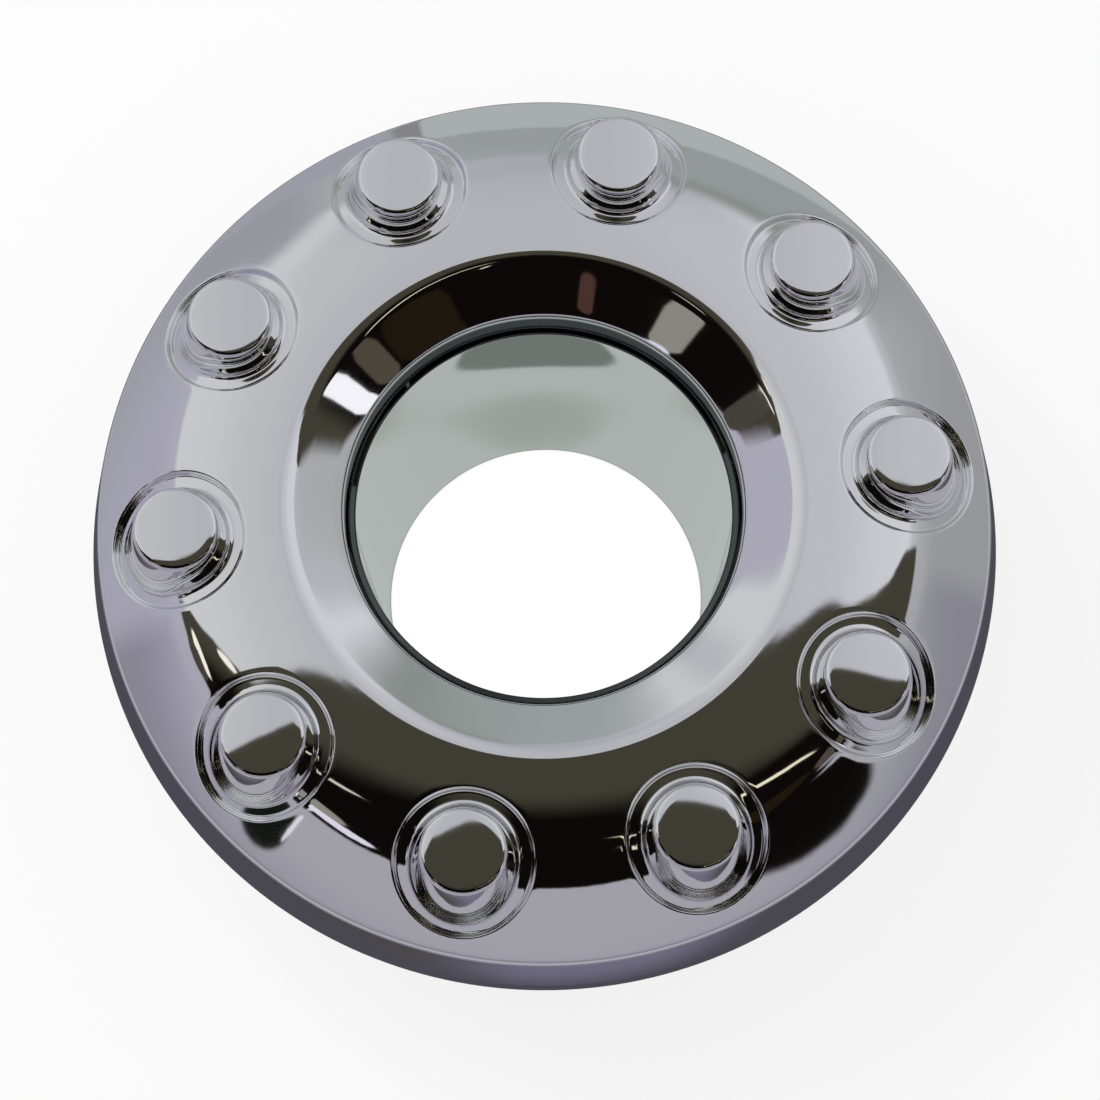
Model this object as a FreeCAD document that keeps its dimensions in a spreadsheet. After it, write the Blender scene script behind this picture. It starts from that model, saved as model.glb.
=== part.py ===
import FreeCAD, Part
import Sketcher
import math
import os

# Wheel cover: one moulded, chrome-plated piece that dresses a ten-stud truck wheel.
# Frame: Z is the wheel's axis and points outwards, away from the vehicle.
# The origin lies on that axis in the plane of the hub sleeve's rear end.
# The first lug cap stands on the +X side.

doc = FreeCAD.newDocument("truck_wheel_cover")

# Driving sizes in millimetres, and degrees for the draft.
sheet = doc.addObject("Spreadsheet::Sheet", "sizes")
driving_sizes = [
    ("lug_count", 10),
    ("lug_circle_dia", 225),
    ("overall_height", 140),
    ("wall", 4),
    ("recess_dia", 42),
    ("recess_shift", 1),
    ("recess_depth", 2.5),
    ("inner_land", 13.6),
    ("outer_land", 6),
    ("crest_below_caps", 7.3),
    ("crest_round", 9.5),
    ("break_shift", 0.5),
    ("break_below_crest", 3.2),
    ("shoulder_below_break", 19.1),
    ("rim_below_shoulder", 24.8),
    ("rim_flare", 5.1),
    ("funnel_run", 16.4),
    ("funnel_drop", 10.8),
    ("step_lean", 1.5),
    ("step_drop", 6),
    ("ledge_width", 2.1),
    ("ledge_drop", 1),
    ("sleeve_taper", 4.5),
    ("cap_top_dia", 25.8),
    ("cap_draft", 13),
    ("cap_top_wall", 3),
    ("hollow_dia", 22),
    ("clearance_cut", 4),
]
for row, (alias, size) in enumerate(driving_sizes, start=1):
    sheet.set("A%d" % row, alias)
    sheet.set("B%d" % row, str(size))
    sheet.setAlias("B%d" % row, alias)
doc.recompute()


# Value of an expression on the sheet.
def number(text):
    return float(sheet.evalExpression(text.replace("sizes.", "")))


# Radii and heights that follow from the driving sizes, as expressions.
# They run outwards and inwards from the lug circle, and down from the tops of the caps.
lug_r = "sizes.lug_circle_dia / 2"
recess_r = "sizes.recess_dia / 2"
recess_axis_r = lug_r + " + sizes.recess_shift"
crest_r = recess_axis_r + " - " + recess_r + " - sizes.inner_land"
crest_z = "sizes.overall_height - sizes.crest_below_caps"
break_r = lug_r + " + sizes.break_shift"
break_z = crest_z + " - sizes.break_below_crest"
shoulder_r = recess_axis_r + " + " + recess_r + " + sizes.outer_land"
shoulder_z = break_z + " - sizes.shoulder_below_break"
rim_r = shoulder_r + " + sizes.rim_flare"
rim_z = shoulder_z + " - sizes.rim_below_shoulder"
throat_r = crest_r + " - sizes.funnel_run"
throat_z = crest_z + " - sizes.funnel_drop"
ledge_r = throat_r + " - sizes.step_lean"
ledge_z = throat_z + " - sizes.step_drop"
sleeve_top_r = ledge_r + " - sizes.ledge_width"
sleeve_top_z = ledge_z + " - sizes.ledge_drop"
sleeve_end_r = sleeve_top_r + " - sizes.sleeve_taper"


def origin_part(body, role):
    return [part for part in body.Origin.OriginFeatures if part.Role == role][0]


def new_body(name):
    return doc.addObject("PartDesign::Body", name)


def new_sketch(body, name, plane):
    sketch = body.newObject("Sketcher::SketchObject", name)
    sketch.AttachmentSupport = [(origin_part(body, plane), "")]
    sketch.MapMode = "FlatFace"
    return sketch


# A constraint whose value is an expression on the sheet.
def tie(sketch, text, *constraint):
    place = sketch.addConstraint(Sketcher.Constraint(*constraint, number(text)))
    sketch.setExpression("Constraints[%d]" % place, text)


# Puts a point of the sketch at a radius and a height.
def pin(sketch, geometry, end, x_text, y_text):
    for text, kind, axis in ((x_text, "DistanceX", -2), (y_text, "DistanceY", -1)):
        if text == "0":
            sketch.addConstraint(Sketcher.Constraint("PointOnObject", geometry, end, axis))
        else:
            tie(sketch, text, kind, geometry, end)


def point(x, y):
    return FreeCAD.Vector(x, y, 0)


# Counter-clockwise arc between two points about a centre.
def arc_between(centre, first, last):
    radius = (first - centre).Length
    start = math.atan2(first.y - centre.y, first.x - centre.x)
    stop = math.atan2(last.y - centre.y, last.x - centre.x)
    if stop < start:
        stop += 2 * math.pi
    return Part.ArcOfCircle(Part.Circle(centre, FreeCAD.Vector(0, 0, 1), radius), start, stop)


# Closed outline through corners. Each corner is (x, y, round), and a round of None is sharp.
# A corner given as text is tied to the sheet, and one given as numbers is left free.
def outline(sketch, corners):
    count = len(corners)
    places = []
    rounds = []
    for x, y, round_text in corners:
        places.append(point(number(x), number(y)) if isinstance(x, str) else point(x, y))
        rounds.append(number(round_text) if round_text else 0.0)
    arrive = []
    leave = []
    for index, here in enumerate(places):
        back = places[index - 1] - here
        ahead = places[(index + 1) % count] - here
        run = rounds[index] / math.tan(back.getAngle(ahead) / 2)
        arrive.append(here + back.normalize() * run)
        leave.append(here + ahead.normalize() * run)
    lines = []
    for index in range(count):
        side = Part.LineSegment(leave[index], arrive[(index + 1) % count])
        lines.append(sketch.addGeometry(side))
    for index, (x, y, round_text) in enumerate(corners):
        before = lines[index - 1]
        after = lines[index]
        if round_text:
            round_corner(sketch, places[index], arrive[index], leave[index],
                         before, after, round_text)
            corner = sketch.addGeometry(Part.Point(places[index]), True)
            sketch.addConstraint(Sketcher.Constraint("PointOnObject", corner, 1, before))
            sketch.addConstraint(Sketcher.Constraint("PointOnObject", corner, 1, after))
        else:
            corner = after
            sketch.addConstraint(Sketcher.Constraint("Coincident", before, 2, after, 1))
        if isinstance(x, str):
            pin(sketch, corner, 1, x, y)
    return lines


# Arc of a tied radius between two lines of an outline.
def round_corner(sketch, here, arrive, leave, before, after, round_text):
    inward = (arrive - here) + (leave - here)
    half = (arrive - here).getAngle(leave - here) / 2
    centre = here + inward.normalize() * (number(round_text) / math.sin(half))
    turns_left = (here - arrive).cross(leave - here).z > 0
    ends = (arrive, leave) if turns_left else (leave, arrive)
    curve = sketch.addGeometry(arc_between(centre, *ends))
    first, last = (1, 2) if turns_left else (2, 1)
    sketch.addConstraint(Sketcher.Constraint("Tangent", before, 2, curve, first))
    sketch.addConstraint(Sketcher.Constraint("Tangent", curve, last, after, 1))
    tie(sketch, round_text, "Radius", curve)


def volume(item):
    return 0.0 if item.Shape.isNull() else item.Shape.Volume


def check_change(item, name, before, grows):
    change = volume(item) - before
    if (change > 0) != grows:
        raise ValueError("%s changed the volume by %.1f" % (name, change))


# Turned feature about an axis of its sketch, with added or removed material.
def turn(body, kind, name, sketch, axis):
    before = volume(body)
    feature = body.newObject("PartDesign::" + kind, name)
    feature.Profile = sketch
    feature.ReferenceAxis = (sketch, [axis])
    feature.Angle = 360
    body.Tip = feature
    doc.recompute()
    check_change(body, name, before, kind == "Revolution")
    return feature


# Repeats a feature at every lug.
def repeat_at_lugs(body, name, feature):
    ring = body.newObject("PartDesign::PolarPattern", name)
    ring.Originals = [feature]
    ring.Axis = (origin_part(body, "Z_Axis"), [""])
    ring.Angle = 360
    ring.setExpression("Occurrences", "sizes.lug_count")
    body.Tip = ring
    doc.recompute()


# Straight round posts at every lug, from the plane of the rim up to a height.
def make_posts(name, axis_r, radius, top):
    body = new_body(name)
    plan = new_sketch(body, name + "_plan", "XY_Plane")
    plan.setExpression("AttachmentOffset.Base.z", rim_z)
    circle = Part.Circle(point(number(axis_r), 0), FreeCAD.Vector(0, 0, 1), number(radius))
    edge = plan.addGeometry(circle)
    pin(plan, edge, 3, axis_r, "0")
    tie(plan, radius, "Radius", edge)
    post = body.newObject("PartDesign::Pad", name + "_post")
    post.Profile = plan
    post.setExpression("Length", top + " - (" + rim_z + ")")
    body.Tip = post
    doc.recompute()
    repeat_at_lugs(body, name + "_ring", post)
    return body


# Cuts everything off a body below the two-slope face lowered by a gap.
def cut_below_face(body, name, gap):
    lowered = " - (" + gap + ")"
    below = new_sketch(body, name + "_section", "XZ_Plane")
    outline(below, [
        (crest_r, "0", None),
        (shoulder_r, "0", None),
        (shoulder_r, shoulder_z + lowered, None),
        (break_r, break_z + lowered, None),
        (crest_r, crest_z + lowered, None),
    ])
    turn(body, "Groove", name, below, "V_Axis")


# Where two lines meet, each given by a point and a direction.
def meeting(first, along, second, across):
    gap = second - first
    scale = (gap.x * across.y - gap.y * across.x) / (along.x * across.y - along.y * across.x)
    return first + along * scale


# Shell of even wall: funnel, rounded crest, two-slope face, shoulder and skirt.
# The hub sleeve hangs from the funnel, is drafted on both sides and thins towards its end.
def make_shell():
    body = new_body("shell")
    sketch = new_sketch(body, "wall_section", "XZ_Plane")
    front = [
        (sleeve_end_r, "0", None),
        (sleeve_top_r, sleeve_top_z, None),
        (ledge_r, ledge_z, None),
        (throat_r, throat_z, None),
        (crest_r, crest_z, "sizes.crest_round"),
        (break_r, break_z, None),
        (shoulder_r, shoulder_z, None),
        (rim_r, rim_z, None),
    ]
    funnel_side = 3
    foot = (sleeve_end_r + " + sizes.wall", "0", None)
    neck = (ledge_r + " + sizes.wall", ledge_z)
    foot_place, neck_place = [point(number(text[0]), number(text[1])) for text in (foot, neck)]
    places = [point(number(x), number(y)) for x, y, _ in front[funnel_side:]]
    back_sides = [(foot_place, neck_place - foot_place)]
    for here, after in zip(places, places[1:]):
        along = (after - here).normalize()
        back_sides.append((here + point(along.y, -along.x) * number("sizes.wall"), along))
    back_sides.append((places[-1], point(1, 0)))
    back = [meeting(*side, *following) for side, following in zip(back_sides, back_sides[1:])]
    lines = outline(sketch, front + [(place.x, place.y, None) for place in back[::-1]] + [foot])
    sketch.addConstraint(Sketcher.Constraint("Horizontal", lines[len(front) - 1]))
    back_lines = lines[len(front):-1][::-1]
    gauge = sketch.addGeometry(Part.Point(neck_place), True)
    sketch.addConstraint(Sketcher.Constraint("PointOnObject", gauge, 1, back_lines[0]))
    pin(sketch, gauge, 1, *neck)
    for back_line, front_line in zip(back_lines[1:], lines[funnel_side:]):
        sketch.addConstraint(Sketcher.Constraint("Parallel", back_line, front_line))
        tie(sketch, "sizes.wall", "Distance", back_line, 2, front_line)
    turn(body, "Revolution", "turned_wall", sketch, "V_Axis")
    return body


# Round recesses in the face, one around each cap, with floors that follow the face.
def make_recesses():
    body = make_posts("lug_recesses", recess_axis_r, recess_r,
                      "sizes.overall_height + sizes.clearance_cut")
    cut_below_face(body, "recess_floors", "sizes.recess_depth")
    return body


# Drafted lug caps, each turned about its own axis and ending inside the floor of its recess.
def make_caps():
    body = new_body("lug_caps")
    section = new_sketch(body, "cap_section", "XZ_Plane")
    axis = Part.LineSegment(point(number(lug_r), 0),
                            point(number(lug_r), number("sizes.overall_height")))
    spindle = section.addGeometry(axis, True)
    pin(section, spindle, 1, lug_r, "0")
    section.addConstraint(Sketcher.Constraint("Vertical", spindle))
    tie(section, "sizes.overall_height", "DistanceY", spindle, 2)
    foot_r = ("sizes.cap_top_dia / 2 + (sizes.overall_height - (" + shoulder_z + "))"
              " * tan(sizes.cap_draft)")
    outline(section, [
        (lug_r, shoulder_z, None),
        (lug_r + " + " + foot_r, shoulder_z, None),
        (lug_r + " + sizes.cap_top_dia / 2", "sizes.overall_height", None),
        (lug_r, "sizes.overall_height", None),
    ])
    cap = turn(body, "Revolution", "turned_cap", section, "Axis0")
    repeat_at_lugs(body, "cap_ring", cap)
    cut_below_face(body, "cap_feet", "(sizes.recess_depth + sizes.wall) / 2")
    return body


def boolean(kind, name, base, tool):
    joined = doc.addObject("Part::" + kind, name)
    joined.Base = base
    joined.Tool = tool
    doc.recompute()
    check_change(joined, name, volume(base), kind == "Fuse")
    return joined


shell = make_shell()
recesses = make_recesses()
caps = make_caps()
# Hollows open at the back, so that each cap clears the end of its stud.
hollows = make_posts("cap_hollows", lug_r, "sizes.hollow_dia / 2",
                     "sizes.overall_height - sizes.cap_top_wall")
recessed = boolean("Cut", "recessed_shell", shell, recesses)
capped = boolean("Fuse", "capped_shell", recessed, caps)
cover = boolean("Cut", "wheel_cover", capped, hollows)

failed = [item.Name for item in doc.Objects if {"Invalid", "Error"} & set(item.State)]
if failed:
    raise ValueError("failed objects: " + ", ".join(failed))
if cover.Shape.isNull() or not cover.Shape.isValid() or len(cover.Shape.Solids) != 1:
    raise ValueError("the cover is not one valid solid")

os.makedirs("parts", exist_ok=True)
cover.Shape.exportStep("parts/" + cover.Label + ".step")
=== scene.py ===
import math
import bmesh
import bpy
import numpy as np
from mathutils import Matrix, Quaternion, Vector


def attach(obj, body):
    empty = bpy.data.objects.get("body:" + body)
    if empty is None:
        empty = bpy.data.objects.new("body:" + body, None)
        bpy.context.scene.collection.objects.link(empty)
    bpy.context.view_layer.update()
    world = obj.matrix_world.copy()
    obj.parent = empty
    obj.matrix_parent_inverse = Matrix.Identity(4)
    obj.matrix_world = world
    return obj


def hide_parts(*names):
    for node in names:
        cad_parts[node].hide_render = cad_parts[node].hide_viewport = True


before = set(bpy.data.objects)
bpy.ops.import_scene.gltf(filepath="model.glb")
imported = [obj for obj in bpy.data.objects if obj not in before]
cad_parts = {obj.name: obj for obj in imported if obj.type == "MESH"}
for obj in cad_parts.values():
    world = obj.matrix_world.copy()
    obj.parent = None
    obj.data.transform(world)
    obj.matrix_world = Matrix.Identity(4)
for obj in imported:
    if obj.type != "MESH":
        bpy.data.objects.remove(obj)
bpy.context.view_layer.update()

print("frame loaded")

mm = 0.001
# Step in millimetres over which a face's slope is measured.
nudge = 0.01
# An upright wall is given by its distance and any height.
anyHeight = 100


# Corner rounds and profiles. All of them work in millimetres, in half-planes (distance, height).

def unit(vector):
    return vector / np.linalg.norm(vector, axis=-1, keepdims=True)


def tangentLength(first, second, radius):
    halfAngle = np.arccos(np.clip(np.sum(first * second, axis=-1), -1, 1)) / 2
    return radius / np.tan(halfAngle)


# Arc that rounds the corner between two directions that lead away from it, from the first to the second.
def cornerArc(corner, first, second, radius, steps):
    radius = np.broadcast_to(radius, corner.shape[:-1])[..., None]
    halfAngle = np.arccos(np.clip(np.sum(first * second, axis=-1, keepdims=True), -1, 1)) / 2
    centre = corner + unit(first + second) * radius / np.sin(halfAngle)
    start = corner + first * radius / np.tan(halfAngle) - centre
    end = corner + second * radius / np.tan(halfAngle) - centre
    sweep = math.pi - 2 * halfAngle
    places = [
        centre + (np.sin((1 - part) * sweep) * start + np.sin(part * sweep) * end) / np.sin(sweep)
        for part in np.linspace(0, 1, steps + 1)
    ]
    return np.array(places)


# Line through corners (r, z, round, steps on the round, rows on the straight after it).
def roundedLine(corners):
    places = []
    for index, (r, z, radius, steps, rows) in enumerate(corners):
        here = np.array([float(r), float(z)])
        if radius == 0:
            added = [here]
        else:
            before = np.array(corners[index - 1][:2], float)
            after = np.array(corners[index + 1][:2], float)
            added = list(cornerArc(here, unit(before - here), unit(after - here), radius, steps))
        if places:
            places += straightRings(places[-1], added[0], corners[index - 1][4])
        places += added
    return np.array(places)


# Places between two others, or rings between two others, evenly spaced and without the ends.
def straightRings(start, end, rows):
    return [start + (end - start) * row / rows for row in range(1, rows)]


# Height of the back of the face against the radius: two straight slopes with the break between them rounded.
def twoSlopeFace(inner, corner, outer, radius):
    inner, corner, outer = (np.array(place, float) for place in (inner, corner, outer))
    inward, outward = unit(inner - corner), unit(outer - corner)
    length = tangentLength(inward, outward, radius)
    halfAngle = math.acos(float(inward @ outward)) / 2
    centre = corner + unit(inward + outward) * radius / math.sin(halfAngle)
    start = corner[0] + inward[0] * length
    end = corner[0] + outward[0] * length

    def height(r):
        inside = corner[1] + (r - corner[0]) * inward[1] / inward[0]
        outside = corner[1] + (r - corner[0]) * outward[1] / outward[0]
        arc = centre[1] + np.sqrt(np.maximum(radius ** 2 - (r - centre[0]) ** 2, 0))
        return np.where(r < start, inside, np.where(r > end, outside, arc))

    return height


# The same for the front, where the inner slope starts level and steepens, the break is a smooth blend
# and the outer slope bulges a little.
def crownedFace(start, breakSpan, breakTilt, corner, outer, bulge):
    first, last = breakSpan
    run, span = first - start[0], last - first
    firstSlope = -math.tan(math.radians(breakTilt))
    firstHeight = start[1] + run * firstSlope / 2
    chord = (outer[1] - corner[1]) / (outer[0] - corner[0])
    middle, half = (last + outer[0]) / 2, (outer[0] - last) / 2
    lastHeight = corner[1] + (last - corner[0]) * chord
    lastSlope = chord + 2 * bulge / half

    def height(r):
        inside = start[1] + firstSlope * (r - start[0]) ** 2 / (2 * run)
        outside = corner[1] + (r - corner[0]) * chord + bulge * (1 - ((r - middle) / half) ** 2)
        part = np.clip((r - first) / span, 0, 1)
        between = (1 - part) ** 2 * ((1 + 2 * part) * firstHeight + part * span * firstSlope)
        between += part ** 2 * ((3 - 2 * part) * lastHeight + (part - 1) * span * lastSlope)
        return np.where(r < first, inside, np.where(r > last, outside, between))

    return height


# Point where two lines meet, each given by a point and a direction.
def meeting(first, along, second, across):
    gap = second - first
    turn = along[..., 0] * across[..., 1] - along[..., 1] * across[..., 0]
    distance = (gap[..., 0] * across[..., 1] - gap[..., 1] * across[..., 0]) / turn
    return first + along * distance[..., None]


# Round between a straight wall and a surface, found in the half-plane of each azimuth by closing in on it.
def surfaceRound(wallPoint, wallDirection, surface, side, guess, radius, steps, rounds=8):
    reach = guess
    wallDirection = unit(np.array(wallDirection, float))
    for attempt in range(rounds):
        slope = (surface(reach + nudge) - surface(reach - nudge)) / (2 * nudge)
        along = unit(np.stack([np.ones_like(slope), slope], axis=-1)) * side
        onSurface = np.stack([reach, surface(reach)], axis=-1)
        wall = np.broadcast_to(np.array(wallPoint, float), onSurface.shape)
        up = np.broadcast_to(wallDirection, onSurface.shape)
        corner = meeting(wall, up, onSurface, along)
        reach = corner[:, 0] + along[:, 0] * tangentLength(up, along, radius)
    return cornerArc(corner, up, along, radius, steps)


# Wheel cover, one moulding. Heights are in millimetres from the hub sleeve's rear end, and radii from the
# wheel's axis. Corners are (radius, height, round).
cover = {
    "name": "wheelCoverSmooth",
    "lugs": 10,
    "sidePoints": 24,
    "crest": (78.9, 132.7, 9.5),
    "slopeBreak": (113, 129.5, 25),
    "faceStart": (81.6, 132.43),
    "breakSpan": (106.5, 120.5),
    "breakTilt": 10.86,
    "slopeBulge": 0.25,
    "shoulder": (140.5, 110.4, 4),
    "rim": (145.6, 85.6, 0.6),
    "throat": (62.5, 122, 2),
    "ledge": (61, 116, 1.2),
    "sleeveTop": (58.9, 115, 1),
    "sleeveEnd": (54.4, 0, 0.6),
    "sleeveGuard": 1.1,
    "wall": 4,
    "edgeRound": 0.6,
    "rootRound": 1.5,
    "shoulderBackRound": 1.2,
    "frontPatch": (84, 138.5),
    "backPatch": (84, 132),
    "capAxis": 112.5,
    "capTop": 140,
    "capRadius": 12.9,
    "capCrown": 0.36,
    "capDraft": 13,
    "noseRound": 1.8,
    "baseRound": 2,
    "recessAxis": 113.5,
    "recessRadius": 21,
    "recessDepth": 2.5,
    "recessFloorRound": 0.8,
    "recessEdgeRound": 1.1,
    "recessWallShare": 0.9,
    "hollowRadius": 11,
    "hollowTop": 137,
    "hollowRing": 5,
    "hollowRound": 1,
    "hollowMouthRound": 0.5,
}
# Steps on each round and rows on each stretch of a patch.
coverRows = {
    "dome": 8, "nose": 7, "capWall": 4, "base": 7, "recessFloor": 5, "heel": 5, "recessWall": 2, "lip": 7,
    "margin": 12, "hollowRounds": 4, "hollowWall": 2, "hollowMargin": 7,
}


def lineThrough(first, second):
    first, second = np.array(first[:2], float), np.array(second[:2], float)
    return first, unit(second - first)


# Line moved towards the back by the wall.
def behind(first, second):
    place, along = lineThrough(first, second)
    return place + np.array([along[1], -along[0]]) * cover["wall"], along


def crossing(first, second):
    return meeting(first[0], first[1], second[0], second[1])


funnelBack = behind(cover["throat"], cover["crest"])
innerBack = behind(cover["crest"], cover["slopeBreak"])
flangeBack = behind(cover["slopeBreak"], cover["shoulder"])
skirtBack = behind(cover["shoulder"], cover["rim"])
sleeveFoot = np.array([cover["sleeveEnd"][0] + cover["wall"], 0.0])
sleeveBack = lineThrough(sleeveFoot, (cover["ledge"][0] + cover["wall"], cover["ledge"][1]))
level = np.array([1.0, 0.0])
root = crossing(sleeveBack, funnelBack)
crestBack = crossing(funnelBack, innerBack)
breakBack = crossing(innerBack, flangeBack)
shoulderBack = crossing(flangeBack, skirtBack)
rimBack = crossing(skirtBack, (np.array(cover["rim"][:2], float), level))

frontFace = crownedFace(
    cover["faceStart"], cover["breakSpan"], cover["breakTilt"],
    cover["slopeBreak"][:2], cover["shoulder"][:2], cover["slopeBulge"],
)
backFace = twoSlopeFace(crestBack, breakBack, shoulderBack, cover["slopeBreak"][2] - cover["wall"])

grids = []


def turned(places, angle):
    cosine, sine = math.cos(angle), math.sin(angle)
    x, y, z = places[..., 0], places[..., 1], places[..., 2]
    return np.stack([x * cosine - y * sine, x * sine + y * cosine, z], axis=-1)


# Rows turned round the wheel's axis, on the same spokes as the patches.
def addTurned(line):
    count = cover["lugs"] * cover["sidePoints"]
    angle = (np.arange(count) / count) * 2 * math.pi
    rows = [np.stack([r * np.cos(angle), r * np.sin(angle), np.full(count, z)], axis=-1) for r, z in line]
    grids.append(np.array(rows))


# Outline of one patch, which is one lug's share of the face, anticlockwise.
def patchOutline(innerRadius, outerRadius):
    count = cover["sidePoints"]
    half = math.pi / cover["lugs"]
    part = np.arange(count) / count
    angle = np.concatenate([
        -half + part * 2 * half, np.full(count, half), half - part * 2 * half, np.full(count, -half),
    ])
    span = outerRadius - innerRadius
    radius = np.concatenate([
        np.full(count, outerRadius), outerRadius - part * span,
        np.full(count, innerRadius), innerRadius + part * span,
    ])
    return np.stack([radius * np.cos(angle), radius * np.sin(angle)], axis=-1)


# Places in plan, laid on a surface.
def laid(plan, height):
    return np.concatenate([plan, height(np.hypot(plan[:, 0], plan[:, 1]))[:, None]], axis=1)


# Rings on a surface between two curves in plan, of which the last is left out.
def ringsBetween(start, end, height, rows):
    return [laid(plan, height) for plan in straightRings(start, end, rows)]


# Half-plane places about an axis, as rings.
def placed(places, axis, azimuth):
    reach, height = places[..., 0], places[..., 1]
    return np.stack([axis + reach * np.cos(azimuth), reach * np.sin(azimuth), height + 0 * azimuth], axis=-1)


def surfaceAbout(axis, azimuth, height):
    return lambda reach: height(np.hypot(axis + reach * np.cos(azimuth), reach * np.sin(azimuth)))


# Front patch: lug cap, its recess and the face round it.
def frontRings():
    outline = patchOutline(*cover["frontPatch"])
    recessAxis, capAxis = cover["recessAxis"], cover["capAxis"]
    azimuth = np.arctan2(outline[:, 1], outline[:, 0] - recessAxis)
    ones = np.ones(len(azimuth))
    draft = math.tan(math.radians(cover["capDraft"]))
    edge = (cover["capRadius"], cover["capTop"] - cover["capCrown"])
    depth = cover["recessDepth"]

    def dome(reach):
        return cover["capTop"] - cover["capCrown"] * (reach / cover["capRadius"]) ** 2

    def floor(r):
        return frontFace(r) - depth

    # Each round is looked for from a first guess, in millimetres from the cap's axis.
    noseGuess, baseGuess = 12 * ones, 17 * ones
    capFloor = surfaceAbout(capAxis, azimuth, floor)
    nose = surfaceRound(edge, (draft, -1), dome, -1, noseGuess, cover["noseRound"], coverRows["nose"])[::-1]
    base = surfaceRound(edge, (-draft, 1), capFloor, 1, baseGuess, cover["baseRound"], coverRows["base"])

    # The recess wall is short on the outer side, so both of its rounds shrink to fit there.
    floorAbout = surfaceAbout(recessAxis, azimuth, floor)
    faceAbout = surfaceAbout(recessAxis, azimuth, frontFace)
    wallRadius = cover["recessRadius"]
    halfStep = 0.5
    rise = faceAbout(wallRadius * ones + halfStep) - faceAbout(wallRadius * ones - halfStep)
    slope = rise / (2 * halfStep)
    outwards = unit(np.stack([ones, slope], axis=-1))
    down = np.broadcast_to(np.array([0.0, -1.0]), outwards.shape)
    needed = tangentLength(down, outwards, cover["recessFloorRound"] + cover["recessEdgeRound"])
    share = np.minimum(1, cover["recessWallShare"] * depth / needed)
    floorRound, edgeRound = cover["recessFloorRound"] * share, cover["recessEdgeRound"] * share
    wallPlace = (wallRadius, anyHeight)
    inside, outside = (wallRadius - 1) * ones, (wallRadius + 1) * ones
    heel = surfaceRound(wallPlace, (0, 1), floorAbout, -1, inside, floorRound, coverRows["heel"])[::-1]
    lip = surfaceRound(wallPlace, (0, -1), faceAbout, 1, outside, edgeRound, coverRows["lip"])

    rings = [
        placed(np.stack([reach * ones, dome(reach * ones)], axis=-1), capAxis, azimuth)
        for reach in np.linspace(0, 1, coverRows["dome"])[1:-1] * nose[0, 0, 0]
    ]
    noseRings, baseRings = (list(placed(part, capAxis, azimuth)) for part in (nose, base))
    heelRings, lipRings = (list(placed(part, recessAxis, azimuth)) for part in (heel, lip))
    rings += noseRings + straightRings(noseRings[-1], baseRings[0], coverRows["capWall"]) + baseRings
    rings += ringsBetween(baseRings[-1][:, :2], heelRings[0][:, :2], floor, coverRows["recessFloor"])
    rings += heelRings + straightRings(heelRings[-1], lipRings[0], coverRows["recessWall"]) + lipRings
    rings += ringsBetween(lipRings[-1][:, :2], outline, frontFace, coverRows["margin"])
    rings.append(laid(outline, frontFace))
    top = np.broadcast_to(np.array([capAxis, 0.0, cover["capTop"]]), (len(azimuth), 3))
    return np.array([top] + rings)


# Back patch: the hollow in the back of a lug cap and the wall round it.
def backRings():
    outline = patchOutline(*cover["backPatch"])
    axis = cover["capAxis"]
    azimuth = np.arctan2(outline[:, 1], outline[:, 0] - axis)
    ones = np.ones(len(azimuth))
    radius, top = cover["hollowRadius"], cover["hollowTop"]
    wallPlace = (radius, anyHeight)
    inside, outside = (radius - 1) * ones, (radius + 1) * ones

    def ceilingHeight(reach):
        return top + 0 * reach

    around = surfaceAbout(axis, azimuth, backFace)
    steps = coverRows["hollowRounds"]
    mouth = surfaceRound(wallPlace, (0, 1), around, 1, outside, cover["hollowMouthRound"], steps)
    ceiling = surfaceRound(wallPlace, (0, -1), ceilingHeight, -1, inside, cover["hollowRound"], steps)[::-1]
    ceilingRings, mouthRings = (list(placed(part, axis, azimuth)) for part in (ceiling, mouth))
    rings = [placed(np.stack([cover["hollowRing"] * ones, top * ones], axis=-1), axis, azimuth)]
    rings += ceilingRings + straightRings(ceilingRings[-1], mouthRings[0], coverRows["hollowWall"])
    rings += mouthRings + ringsBetween(mouthRings[-1][:, :2], outline, backFace, coverRows["hollowMargin"])
    rings.append(laid(outline, backFace))
    middle = np.broadcast_to(np.array([axis, 0.0, top]), (len(azimuth), 3))
    return np.array([middle] + rings)


# Place on a face, as a corner with no round and no steps.
def placeAt(r, height):
    return (r, float(height(np.array(r))), 0, 0)


def tangentAt(r):
    return lineThrough(placeAt(r, frontFace), placeAt(r + nudge, frontFace))


# Point (r, z) on the straight from one corner towards another.
def pointAlong(first, second, distance):
    place, along = lineThrough(first, second)
    return place + along * distance


# The crest and the shoulder have their corners where the funnel and the skirt meet the face's tangents at
# the patch.
crestFront = crossing(lineThrough(cover["throat"], cover["crest"]), tangentAt(cover["frontPatch"][0]))
shoulderFront = crossing(lineThrough(cover["shoulder"], cover["rim"]), tangentAt(cover["frontPatch"][1]))

# Rows close to the rounds keep the long wall between them shaded as straight.
sleeveStart = pointAlong(cover["sleeveTop"], cover["sleeveEnd"], cover["sleeveGuard"])
sleeveStop = pointAlong(cover["sleeveEnd"], cover["sleeveTop"], cover["sleeveGuard"])

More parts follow.
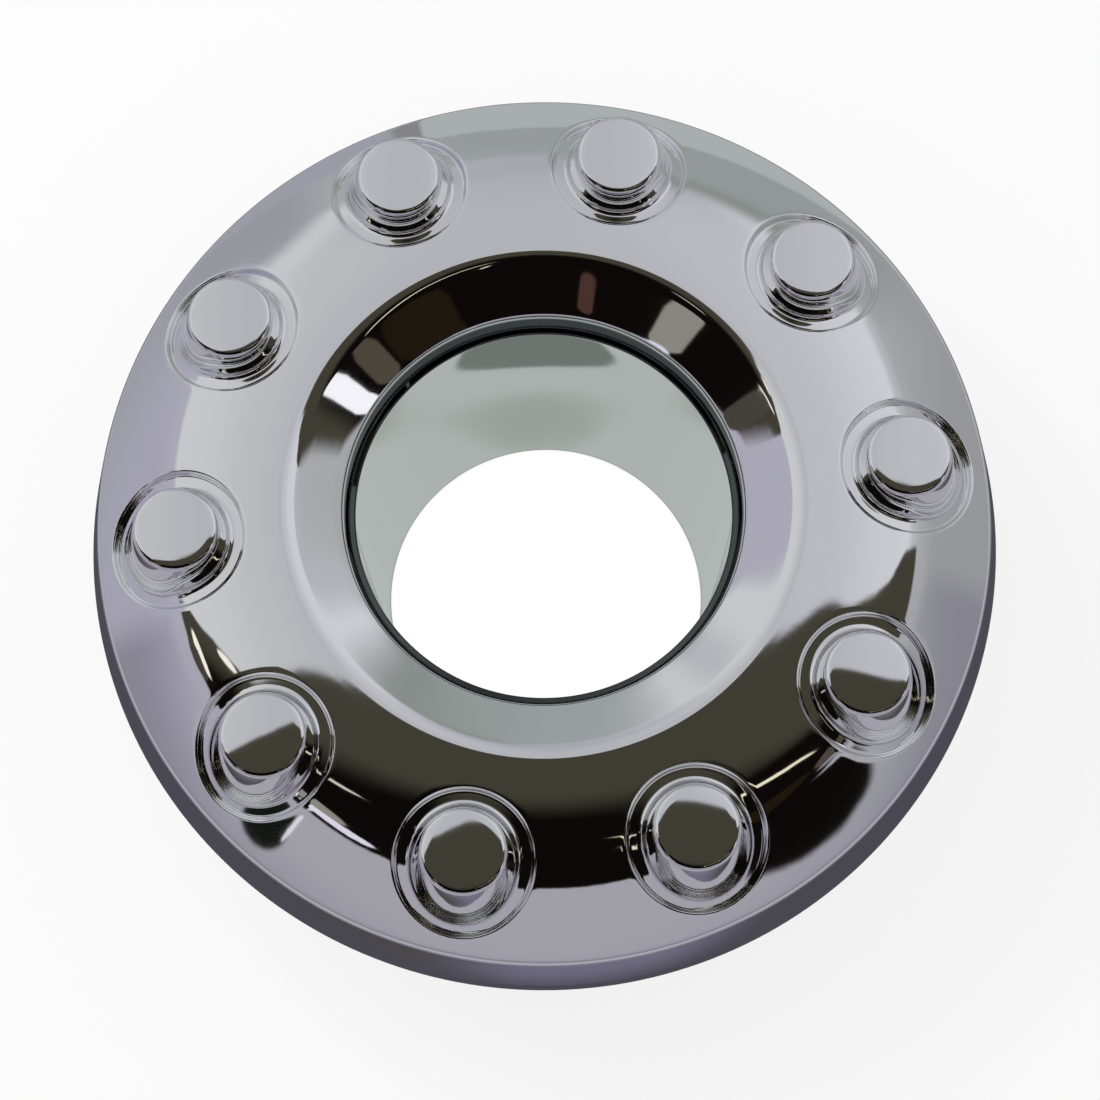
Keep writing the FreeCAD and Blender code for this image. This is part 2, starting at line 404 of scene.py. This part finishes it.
# Crest, funnel, stepped throat and sleeve, then back up behind them.
innerLine = [
    (*placeAt(cover["frontPatch"][0], frontFace), 2),
    (*crestFront, cover["crest"][2], 14, 5),
    (*cover["throat"], 8, 2),
    (*cover["ledge"], 7, 1),
    (*cover["sleeveTop"], 7, 1),
    (*sleeveStart, 0, 0, 5),
    (*sleeveStop, 0, 0, 1),
    (*cover["sleeveEnd"], 4, 1),
    (*sleeveFoot, cover["edgeRound"], 4, 4),
    (*root, cover["rootRound"], 4, 2),
    (*crestBack, cover["crest"][2] - cover["wall"], 6, 1),
    (*placeAt(cover["backPatch"][0], backFace), 1),
]
# Shoulder, skirt and rim, then back up behind them.
outerLine = [
    (*placeAt(cover["frontPatch"][1], frontFace), 1),
    (*shoulderFront, cover["shoulder"][2], 10, 5),
    (*cover["rim"], 4, 1),
    (*rimBack, cover["edgeRound"], 4, 3),
    (*shoulderBack, cover["shoulderBackRound"], 4, 1),
    (*placeAt(cover["backPatch"][1], backFace), 1),
]
addTurned(roundedLine(innerLine))
addTurned(roundedLine(outerLine))
frontPatch, backPatch = frontRings(), backRings()
# The patches' corners lie half a lug from the caps, so the spokes of both sets agree.
for lug in range(cover["lugs"]):
    angle = 2 * math.pi * lug / cover["lugs"]
    grids.append(turned(frontPatch, angle))
    grids.append(turned(backPatch, angle))
print("surfaces worked out")


# Joins the grids into one closed mesh. Each grid closes on itself round its rows.
def buildMesh(name, allGrids):
    weldWithin, emptyWithin = 0.01 * mm, 0.001 * mm
    vertices, faces, start = [], [], 0
    for grid in allGrids:
        rows, count = grid.shape[:2]
        index = start + np.arange(rows * count).reshape(rows, count)
        following = np.roll(index, -1, axis=1)
        faces.append(np.stack([index[:-1], following[:-1], following[1:], index[1:]], axis=-1).reshape(-1, 4))
        vertices.append(grid.reshape(-1, 3))
        start += rows * count
    mesh = bpy.data.meshes.new(name)
    mesh.from_pydata((np.concatenate(vertices) * mm).tolist(), [], np.concatenate(faces).tolist())
    work = bmesh.new()
    work.from_mesh(mesh)
    bmesh.ops.remove_doubles(work, verts=work.verts, dist=weldWithin)
    bmesh.ops.dissolve_degenerate(work, edges=work.edges, dist=emptyWithin)
    bmesh.ops.recalc_face_normals(work, faces=work.faces)
    if work.calc_volume(signed=True) < 0:
        bmesh.ops.reverse_faces(work, faces=work.faces)
    openEdges = [edge for edge in work.edges if len(edge.link_faces) != 2]
    triangles = sum(len(face.verts) - 2 for face in work.faces)
    print("cover mesh:", triangles, "triangles,", len(openEdges), "open edges")
    print("cover volume:", round(work.calc_volume() * 1e6, 1), "ml")
    work.to_mesh(mesh)
    work.free()
    mesh.polygons.foreach_set("use_smooth", [True] * len(mesh.polygons))
    mesh.update()
    return mesh


coverMesh = buildMesh(cover["name"], grids)
coverObject = bpy.data.objects.new(cover["name"], coverMesh)
bpy.context.scene.collection.objects.link(coverObject)
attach(coverObject, "root")
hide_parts("wheel_cover")
print("cover built")


# Materials. A socket wrapped with operators, so that shader maths reads as maths.
class Socket:
    def __init__(self, tree, output):
        self.tree = tree
        self.output = output

    def maths(self, operation, first, second=None, third=None):
        node = self.tree.nodes.new("ShaderNodeMath")
        node.operation = operation
        for place, value in enumerate((first, second, third)):
            if value is None:
                continue
            if isinstance(value, Socket):
                self.tree.links.new(value.output, node.inputs[place])
            else:
                node.inputs[place].default_value = value
        return Socket(self.tree, node.outputs[0])

    def __add__(self, other):
        return self.maths("ADD", self, other)

    def __radd__(self, other):
        return self.maths("ADD", other, self)

    def __sub__(self, other):
        return self.maths("SUBTRACT", self, other)

    def __rsub__(self, other):
        return self.maths("SUBTRACT", other, self)

    def __mul__(self, other):
        return self.maths("MULTIPLY", self, other)

    def __rmul__(self, other):
        return self.maths("MULTIPLY", other, self)

    def __truediv__(self, other):
        return self.maths("DIVIDE", self, other)

    def __rtruediv__(self, other):
        return self.maths("DIVIDE", other, self)

    def __neg__(self):
        return self.maths("MULTIPLY", self, -1)

    def call(self, operation, other=None):
        return self.maths(operation, self, other)

    # Outputs of the same node, by name or number.
    def beside(self, *keys):
        return [Socket(self.tree, self.output.node.outputs[key]) for key in keys]


class Shader:
    def __init__(self, name):
        self.material = bpy.data.materials.new(name)
        self.material.use_nodes = True
        self.tree = self.material.node_tree
        self.tree.nodes.clear()

    # Any node: its type, its settings, then its sockets by name, or by number as n0, n1 and so on.
    def node(self, kind, settings=None, output=0, **sockets):
        made = self.tree.nodes.new(kind)
        for key, value in (settings or {}).items():
            setattr(made, key, value)
        for key, value in sockets.items():
            numbered = key[0] == "n" and key[1:].isdigit()
            target = made.inputs[int(key[1:]) if numbered else key.replace("_", " ")]
            if isinstance(value, Socket):
                self.tree.links.new(value.output, target)
            else:
                target.default_value = value
        return Socket(self.tree, made.outputs[output])

    # The second colour where the mask is 1, and the first where it is 0.
    def mix(self, mask, first, second):
        return self.node("ShaderNodeMix", {"data_type": "RGBA"}, output=2, n0=mask, n6=first, n7=second)

    def surface(self, shader):
        output = self.tree.nodes.new("ShaderNodeOutputMaterial")
        self.tree.links.new(shader.output, output.inputs["Surface"])


# Smooth step of a given width, with its middle at the edge.
def softStep(value, edge, width, rising=True):
    part = (value - edge) / width + 0.5
    part = part.maths("MAXIMUM", part.call("MINIMUM", 1.0), 0.0)
    smooth = part * part * (3 - 2 * part)
    return smooth if rising else 1 - smooth


# Distance from the z axis.
def reachOf(x, y):
    return (x * x + y * y).call("SQRT")


# Bright chrome over moulded plastic, with painted shade that darkens the throat's step, within edges given in
# metres as (place, softness).
chrome = {
    "name": "chromePlate",
    "plate": (0.86, 0.86, 0.87, 1),
    "step": (0.085, 0.095, 0.095, 1),
    "stepInner": (0.0588, 0.0003),
    "stepOuter": (0.0627, 0.0005),
    "stepBottom": (0.1144, 0.0006),
    "stepTop": (0.1207, 0.0012),
    "broadScale": 28.0,
    "fineScale": 420.0,
    "roughness": 0.03,
    "roughnessSpan": 0.02,
    "broadShare": 0.97,
    "fineShare": 0.03,
    "unevenness": 0.00004,
}


def chromePlate():
    shader = Shader(chrome["name"])
    place = shader.node("ShaderNodeTexCoord", output=3)
    broad = shader.node("ShaderNodeTexNoise", Vector=place, Scale=chrome["broadScale"], Detail=1.0)
    fine = shader.node("ShaderNodeTexNoise", Vector=place, Scale=chrome["fineScale"], Detail=0.0)
    rough = chrome["roughness"] + chrome["roughnessSpan"] * broad
    x, y, z = shader.node("ShaderNodeSeparateXYZ", Vector=place).beside(0, 1, 2)
    reach = reachOf(x, y)
    # Painted shade: the throat's step is darkened as if it lay in shade.
    step = softStep(reach, *chrome["stepInner"]) * softStep(reach, *chrome["stepOuter"], False)
    step = step * softStep(z, *chrome["stepBottom"]) * softStep(z, *chrome["stepTop"], False)
    plate = shader.mix(step, chrome["plate"], chrome["step"])
    height = broad * chrome["broadShare"] + fine * chrome["fineShare"]
    bump = shader.node("ShaderNodeBump", Strength=1.0, Distance=chrome["unevenness"], Height=height)
    surface = shader.node(
        "ShaderNodeBsdfPrincipled", Base_Color=plate, Metallic=1.0, Roughness=rough, Normal=bump,
    )
    shader.surface(surface)
    return shader.material


coverObject.data.materials.append(chromePlate())
print("chrome made")

# Power between a display's tone and light, and the share of light that the chrome gives back.
displayGamma = 2.2
chromeReturn = 0.88


# A tone as it should be seen in the chrome, from 0 to 255 a channel, as light.
def seenTone(red, green, blue):
    return tuple((value / 255) ** displayGamma / chromeReturn for value in (red, green, blue)) + (1,)


# Studio tent: a dome that only the chrome sees. Its far half is pale cloth, and its near half is the dark of
# the room. Directions are in degrees from straight up, to the right and to the far side, and the radius and
# the centre in metres. Cloth is (degrees to the right, tone). A veil's steps are (measure, edge, width,
# rising), and the brink's are (lift, edge, width, rising).
tent = {
    "name": "studioTent",
    "radius": 5.0,
    "rows": 40,
    "columns": 96,
    "lowestAngle": -0.06,
    "centre": (0, 0, 0.13),
    "turnDegrees": -4.921,
    "wobbleScale": 0.9,
    "wobble": 2.2,
    "poleGap": 0.0001,
    "clothSpan": 80,
    "cloth": [
        (-75, (163, 161, 175)), (-56, (170, 168, 181)), (-52, (198, 200, 202)), (-30, (196, 199, 201)),
        (-15, (186, 187, 190)), (-2, (177, 178, 183)), (12, (187, 188, 194)), (30, (201, 201, 207)),
        (48, (204, 204, 210)), (55, (176, 178, 182)), (61, (163, 165, 168)), (75, (150, 151, 153)),
    ],
    "brinkStart": 1.2,
    "brinkSteps": [
        (8.8, -15, 22, True), (2, -3.5, 6, True), (-2.2, 8, 10, True),
        (-2.7, 17, 11, True), (2.3, 42, 16, True), (2, -47, 8, False),
    ],
    "veils": [
        {"steps": [("far", 44, 26, True), ("side", 20, 24, False)], "share": 0.7, "tone": (162, 162, 171)},
        {"steps": [("far", 60, 20, True), ("right", -38, 14, False)], "share": 1, "tone": (154, 153, 162)},
        {
            "steps": [("far", 58, 16, True), ("right", 6, 14, True), ("right", 62, 20, False)],
            "share": 1, "tone": (136, 142, 139),
        },
        {"steps": [("far", 72, 10, True), ("right", -36, 20, True)], "share": 0.8, "tone": (148, 155, 153)},
        {"steps": [("away", 84, 12, True)], "share": 0.5, "tone": (146, 149, 151)},
        {"steps": [("below", 8, 8, True), ("side", 60, 24, False)], "share": 1, "tone": (160, 158, 166)},
        {"steps": [("below", 5, 10, True), ("away", 71, 12, True)], "share": 0.85, "tone": (130, 128, 140)},
    ],
    "dark": {"steps": [("below", 0, 0.8, True), ("reach", 54.5, 2, False)], "share": 1, "tone": (66, 63, 54)},
    "reachLoss": (3.5, 25, 20),
    "blackTone": (20, 17, 16),
    "blackFrom": 4.5,
    "blackWidth": 8,
    "blackLag": (3, 8, 10),
    "patchSoftness": 0.3,
    "patches": [
        {"at": (47.5, -41), "size": (17, 6), "lean": 41, "tone": (20, 17, 16)},
        {"at": (-53, -40.2), "size": (5.4, 3.9), "lean": -52, "tone": (26, 28, 24)},
        {"at": (-41, -36.5), "size": (4, 0.5), "lean": 28, "tone": (200, 197, 202)},
        {"at": (-48.5, -42.8), "size": (2.4, 0.45), "lean": 41, "tone": (222, 220, 226)},
        {"at": (-52, -5.3), "size": (2, 4.4), "lean": 0, "tone": (244, 240, 222)},
        {"at": (-56, -7), "size": (3, 4), "lean": 0, "tone": (70, 66, 60)},
        {"at": (-33, 0), "size": (4, 0.9), "lean": 5, "tone": (240, 236, 222)},
        {"at": (-20.5, -11.8), "size": (3.2, 0.9), "lean": -5, "tone": (205, 198, 184)},
        {"at": (-37.5, -32.5), "size": (6, 3.4), "lean": -50, "tone": (136, 134, 126)},
        {"at": (33, -36.5), "size": (12, 4.5), "lean": 40, "tone": (36, 30, 22)},
        {"at": (46, -24.5), "size": (4.5, 3), "lean": 60, "tone": (78, 72, 62)},
        {"at": (21.5, -17.3), "size": (16, 0.9), "lean": -9, "tone": (236, 227, 198)},
        {"at": (9.2, -25.7), "size": (3, 0.6), "lean": -60, "tone": (222, 216, 192)},
        {"at": (53, -15), "size": (6.5, 3.4), "lean": -65, "tone": (246, 245, 250)},
        {"at": (51, -27), "size": (6, 1.2), "lean": 30, "tone": (132, 129, 138)},
        {"at": (-37, -39), "size": (8, 2.2), "lean": -45, "tone": (216, 213, 226)},
        {"at": (-13.5, -45), "size": (2.4, 1.5), "lean": 0, "tone": (74, 54, 50)},
    ],
}


def studioTent():
    shader = Shader(tent["name"])
    place = shader.node("ShaderNodeTexCoord", output=3)
    noise = shader.node("ShaderNodeTexNoise", output=1, Vector=place, Scale=tent["wobbleScale"], Detail=1.0)
    x, y, z = shader.node("ShaderNodeSeparateXYZ", Vector=place).beside(0, 1, 2)
    wobbles = [part - 0.5 for part in shader.node("ShaderNodeSeparateXYZ", Vector=noise).beside(0, 1)]
    flat = reachOf(x, y) + tent["poleGap"]
    away = flat.call("ARCTAN2", z) * (180 / math.pi)
    right = away * x / flat + tent["wobble"] * wobbles[0]
    far = away * y / flat + tent["wobble"] * wobbles[1]

    span = tent["clothSpan"]
    colour = shader.node("ShaderNodeValToRGB", n0=(right + span) / (2 * span))
    ramp = colour.output.node.color_ramp
    ramp.interpolation = "EASE"
    while len(ramp.elements) < len(tent["cloth"]):
        ramp.elements.new(0.5)
    for stop, (degrees, tone) in zip(ramp.elements, tent["cloth"]):
        stop.position = (degrees + span) / (2 * span)
        stop.color = seenTone(*tone)

    # The dark of the room starts at the brink, just past straight up, and ends near the horizon.
    brink = tent["brinkStart"]
    for lift, edge, width, rising in tent["brinkSteps"]:
        brink = brink + lift * softStep(right, edge, width, rising)
    side = right.call("ABSOLUTE")
    loss, lossEdge, lossWidth = tent["reachLoss"]
    measures = {
        "far": far, "right": right, "side": side, "away": away, "below": brink - far,
        "reach": away - loss * softStep(side, lossEdge, lossWidth),
    }

    def maskOf(veil):
        mask = 1
        for measure, edge, width, rising in veil["steps"]:
            mask = softStep(measures[measure], edge, width, rising) * mask
        return mask * veil["share"]

    # Far end of the tent near the floor, lilac at the middle and green-grey at the right, then the near end.
    for veil in tent["veils"]:
        colour = shader.mix(maskOf(veil), colour, seenTone(*veil["tone"]))
    dark = maskOf(tent["dark"])
    lag, lagEdge, lagWidth = tent["blackLag"]
    blackFrom = tent["blackFrom"] + lag * softStep(right, lagEdge, lagWidth)
    colour = shader.mix(dark, colour, seenTone(*tent["dark"]["tone"]))
    black = dark * softStep(-far, blackFrom, tent["blackWidth"])
    colour = shader.mix(black, colour, seenTone(*tent["blackTone"]))

    for patch in tent["patches"]:
        lean = math.radians(patch["lean"])
        offRight, offFar = right - patch["at"][0], far - patch["at"][1]
        along = (offRight * math.cos(lean) + offFar * math.sin(lean)) / patch["size"][0]
        wide = (offFar * math.cos(lean) - offRight * math.sin(lean)) / patch["size"][1]
        within = softStep(along * along + wide * wide, 1, tent["patchSoftness"], False)
        colour = shader.mix(within, colour, seenTone(*patch["tone"]))

    shader.surface(shader.node("ShaderNodeEmission", Color=colour, Strength=1.0))
    shader.material.cycles.emission_sampling = "NONE"
    return shader.material


def buildDome():
    rows, count = tent["rows"], tent["columns"]
    height = np.linspace(tent["lowestAngle"], math.pi / 2, rows)
    angle = np.arange(count) / count * 2 * math.pi
    reach, rise = np.cos(height)[:, None], np.sin(height)[:, None]
    places = np.stack([reach * np.cos(angle), reach * np.sin(angle), rise + 0 * angle], axis=-1)
    index = np.arange(rows * count).reshape(rows, count)
    following = np.roll(index, -1, axis=1)
    faces = np.stack([index[:-1], index[1:], following[1:], following[:-1]], axis=-1).reshape(-1, 4)
    mesh = bpy.data.meshes.new(tent["name"])
    mesh.from_pydata((places.reshape(-1, 3) * tent["radius"]).tolist(), [], faces.tolist())
    mesh.polygons.foreach_set("use_smooth", [True] * len(mesh.polygons))
    return mesh


domeObject = bpy.data.objects.new(tent["name"], buildDome())
bpy.context.scene.collection.objects.link(domeObject)
domeObject.location = tent["centre"]
domeObject.rotation_euler = (0, 0, math.radians(tent["turnDegrees"]))
domeObject.data.materials.append(studioTent())
domeObject.visible_camera = False
domeObject.visible_diffuse = False
domeObject.visible_shadow = False
domeObject.visible_transmission = False
print("tent hung")


# Pale floor, white to the camera. To the chrome it glows with tones painted for it: painted shade round the
# cover, and paper within the hub sleeve, where it is paper, with painted shade and a painted reflection on
# it.
# Lengths are in metres. Edges are (place, softness), and farDarkEdge and farLeftEdge are in slopes to the
# right.
floorPiece = {
    "name": "studioFloor",
    "material": "paleFloor",
    "half": 7.0,
    "colour": (0.9, 0.9, 0.9, 1),
    "roughness": 0.85,
    "cameraGlow": 0.8,
    "waveScale": 60.0,
    "wave": 0.8,
    "openingEdge": (0.0545, 0.002),
    "paintedDarkPatch": {"at": (0.0021, 0.0097), "size": (0.0074, 0.0130), "softness": 0.2},
    "shade": {"at": (0.002, 0.043), "size": (0.014, 0.0105), "softness": 1.8},
    "farStart": 0.3,
    "farDarkEdge": (-0.135, 0.012),
    "farLeftEdge": (-0.19, 0.02),
    "sideMiddle": 0.006,
    "sideEdge": (0.062, 0.07),
    "deepEdge": (0.1965, 0.009),
    "footEdge": (0.235, 0.05),
    "nearEdge": (0.38, 0.16),
    "farEdge": (0.5, 1.0),
    "tones": {
        "sleeve": (168, 175, 172),
        "paintedDarkPatch": (108, 115, 111),
        "shade": (152, 159, 153),
        "near": (170, 168, 176),
        "foot": (126, 124, 136),
        "shadeNear": (108, 105, 124),
        "shadeSide": (74, 73, 74),
        "shadeDeep": (74, 72, 80),
        "far": (168, 174, 173),
        "farLeft": (155, 155, 166),
        "farDark": (131, 131, 134),
    },
}


def paleFloor():
    shader = Shader(floorPiece["material"])
    place = shader.node("ShaderNodeTexCoord", output=3)
    x, y = shader.node("ShaderNodeSeparateXYZ", Vector=place).beside(0, 1)
    cameraRay, glossyRay = shader.node("ShaderNodeLightPath").beside("Is Camera Ray", "Is Glossy Ray")
    wave = shader.node("ShaderNodeTexNoise", Vector=place, Scale=floorPiece["waveScale"], Detail=1.0) - 0.5
    reach = reachOf(x, y)
    tones = {name: seenTone(*tone) for name, tone in floorPiece["tones"].items()}

    def beyond(value, edge, first, second):
        return shader.mix(softStep(value, *floorPiece[edge]), first, second)

    # Painted patch on the paper, with a slightly uneven edge.
    def paintedPatchOver(name, under):
        paintedDarkPatch = floorPiece[name]
        offX, offY = (x - paintedDarkPatch["at"][0]) / paintedDarkPatch["size"][0], (y - paintedDarkPatch["at"][1]) / paintedDarkPatch["size"][1]
        spread = offX * offX + offY * offY + floorPiece["wave"] * wave
        return shader.mix(softStep(spread, 1, paintedDarkPatch["softness"], False), under, tones[name])

    # Paper within the sleeve: painted shade, and over it a painted reflection of the dark room.
    paper = paintedPatchOver("paintedDarkPatch", paintedPatchOver("shade", tones["sleeve"]))
    lean = x / (y.call("MAXIMUM", floorPiece["farStart"]))
    distant = beyond(lean, "farDarkEdge", tones["farDark"], tones["far"])
    distant = beyond(lean, "farLeftEdge", tones["farLeft"], distant)
    # Painted shade on the floor round the cover, as the chrome sees it: darker to the sides, darkest close to
    # the cover, lighter further out.
    fromSide = (x - floorPiece["sideMiddle"]).call("ABSOLUTE")
    table = beyond(fromSide, "sideEdge", tones["shadeNear"], tones["shadeSide"])
    table = beyond(reach, "deepEdge", tones["shadeDeep"], table)
    table = beyond(reach, "footEdge", table, tones["foot"])
    table = beyond(reach, "nearEdge", table, tones["near"])
    table = beyond(y, "farEdge", table, distant)
    # Within the hub sleeve's opening the floor is paper to the chrome and glows full white to the camera,
    # painted light over the shade that falls in there.
    within = softStep(reach, *floorPiece["openingEdge"], False)
    glowTone = shader.mix(cameraRay, shader.mix(within, table, paper), (1, 1, 1, 1))

    matt = shader.node(
        "ShaderNodeBsdfPrincipled", Base_Color=floorPiece["colour"], Roughness=floorPiece["roughness"],
    )
    glow = shader.node("ShaderNodeEmission", Color=glowTone, Strength=1.0)
    share = glossyRay + cameraRay * (within + (1 - within) * floorPiece["cameraGlow"])
    shader.surface(shader.node("ShaderNodeMixShader", n0=share, n1=matt, n2=glow))
    shader.material.cycles.emission_sampling = "NONE"
    return shader.material


half = floorPiece["half"]
floorMesh = bpy.data.meshes.new(floorPiece["name"])
floorCorners = [(-half, -half, 0), (half, -half, 0), (half, half, 0), (-half, half, 0)]
floorMesh.from_pydata(floorCorners, [], [(0, 1, 2, 3)])
floorObject = bpy.data.objects.new(floorPiece["name"], floorMesh)
bpy.context.scene.collection.objects.link(floorObject)
floorMesh.materials.append(paleFloor())
print("floor laid")


# White surround: full white to the camera and in reflections, softer as light.
surround = {"name": "studioSurround", "light": 0.72, "seenMore": 0.28}
world = bpy.data.worlds.new(surround["name"])
bpy.context.scene.world = world
world.use_nodes = True
worldTree = world.node_tree
backgroundInputs = worldTree.nodes["Background"].inputs
backgroundInputs["Color"].default_value = (1, 1, 1, 1)
pathOutputs = worldTree.nodes.new("ShaderNodeLightPath").outputs
seen = Socket(worldTree, pathOutputs["Is Camera Ray"]) + Socket(worldTree, pathOutputs["Is Glossy Ray"])
seen = (seen + Socket(worldTree, pathOutputs["Is Transmission Ray"])).call("MINIMUM", 1.0)
worldTree.links.new((surround["light"] + surround["seenMore"] * seen).output, backgroundInputs["Strength"])

keyLamp = {"name": "keyLamp", "place": (-0.9, 0.7, 1.7), "target": (0, 0, 0.1), "size": 1.0, "watts": 14}
lampData = bpy.data.lights.new(keyLamp["name"], "AREA")
lampData.shape = "DISK"
lampData.size = keyLamp["size"]
lampData.energy = keyLamp["watts"]
lampObject = bpy.data.objects.new(keyLamp["name"], lampData)
bpy.context.scene.collection.objects.link(lampObject)
lampObject.location = keyLamp["place"]
lampObject.rotation_mode = "QUATERNION"
beam = Vector(keyLamp["target"]) - Vector(keyLamp["place"])
lampObject.rotation_quaternion = beam.to_track_quat("-Z", "Y")
lampObject.visible_glossy = False
lampObject.visible_camera = False
print("studio lit")


# Camera, at the photograph's viewing angle. Lengths in millimetres.
camera = {
    "name": "photoCamera",
    "place": (-18.338, -233.173, 973.331),
    "target": (0.138, -18.589, 140),
    "rollDegrees": -1.0016,
    "focalLength": 93.084,
    "sensor": 36,
}
cameraData = bpy.data.cameras.new(camera["name"])
cameraData.lens = camera["focalLength"]
cameraData.sensor_width = camera["sensor"]
cameraObject = bpy.data.objects.new(camera["name"], cameraData)
bpy.context.scene.collection.objects.link(cameraObject)
eye = Vector(camera["place"]) * mm
sight = Vector(camera["target"]) * mm - eye
cameraObject.location = eye
cameraObject.rotation_mode = "QUATERNION"
roll = Quaternion((0, 0, 1), math.radians(camera["rollDegrees"]))
cameraObject.rotation_quaternion = sight.to_track_quat("-Z", "Y") @ roll
bpy.context.scene.camera = cameraObject

bpy.context.scene.view_settings.view_transform = "Standard"
print("studio ready")
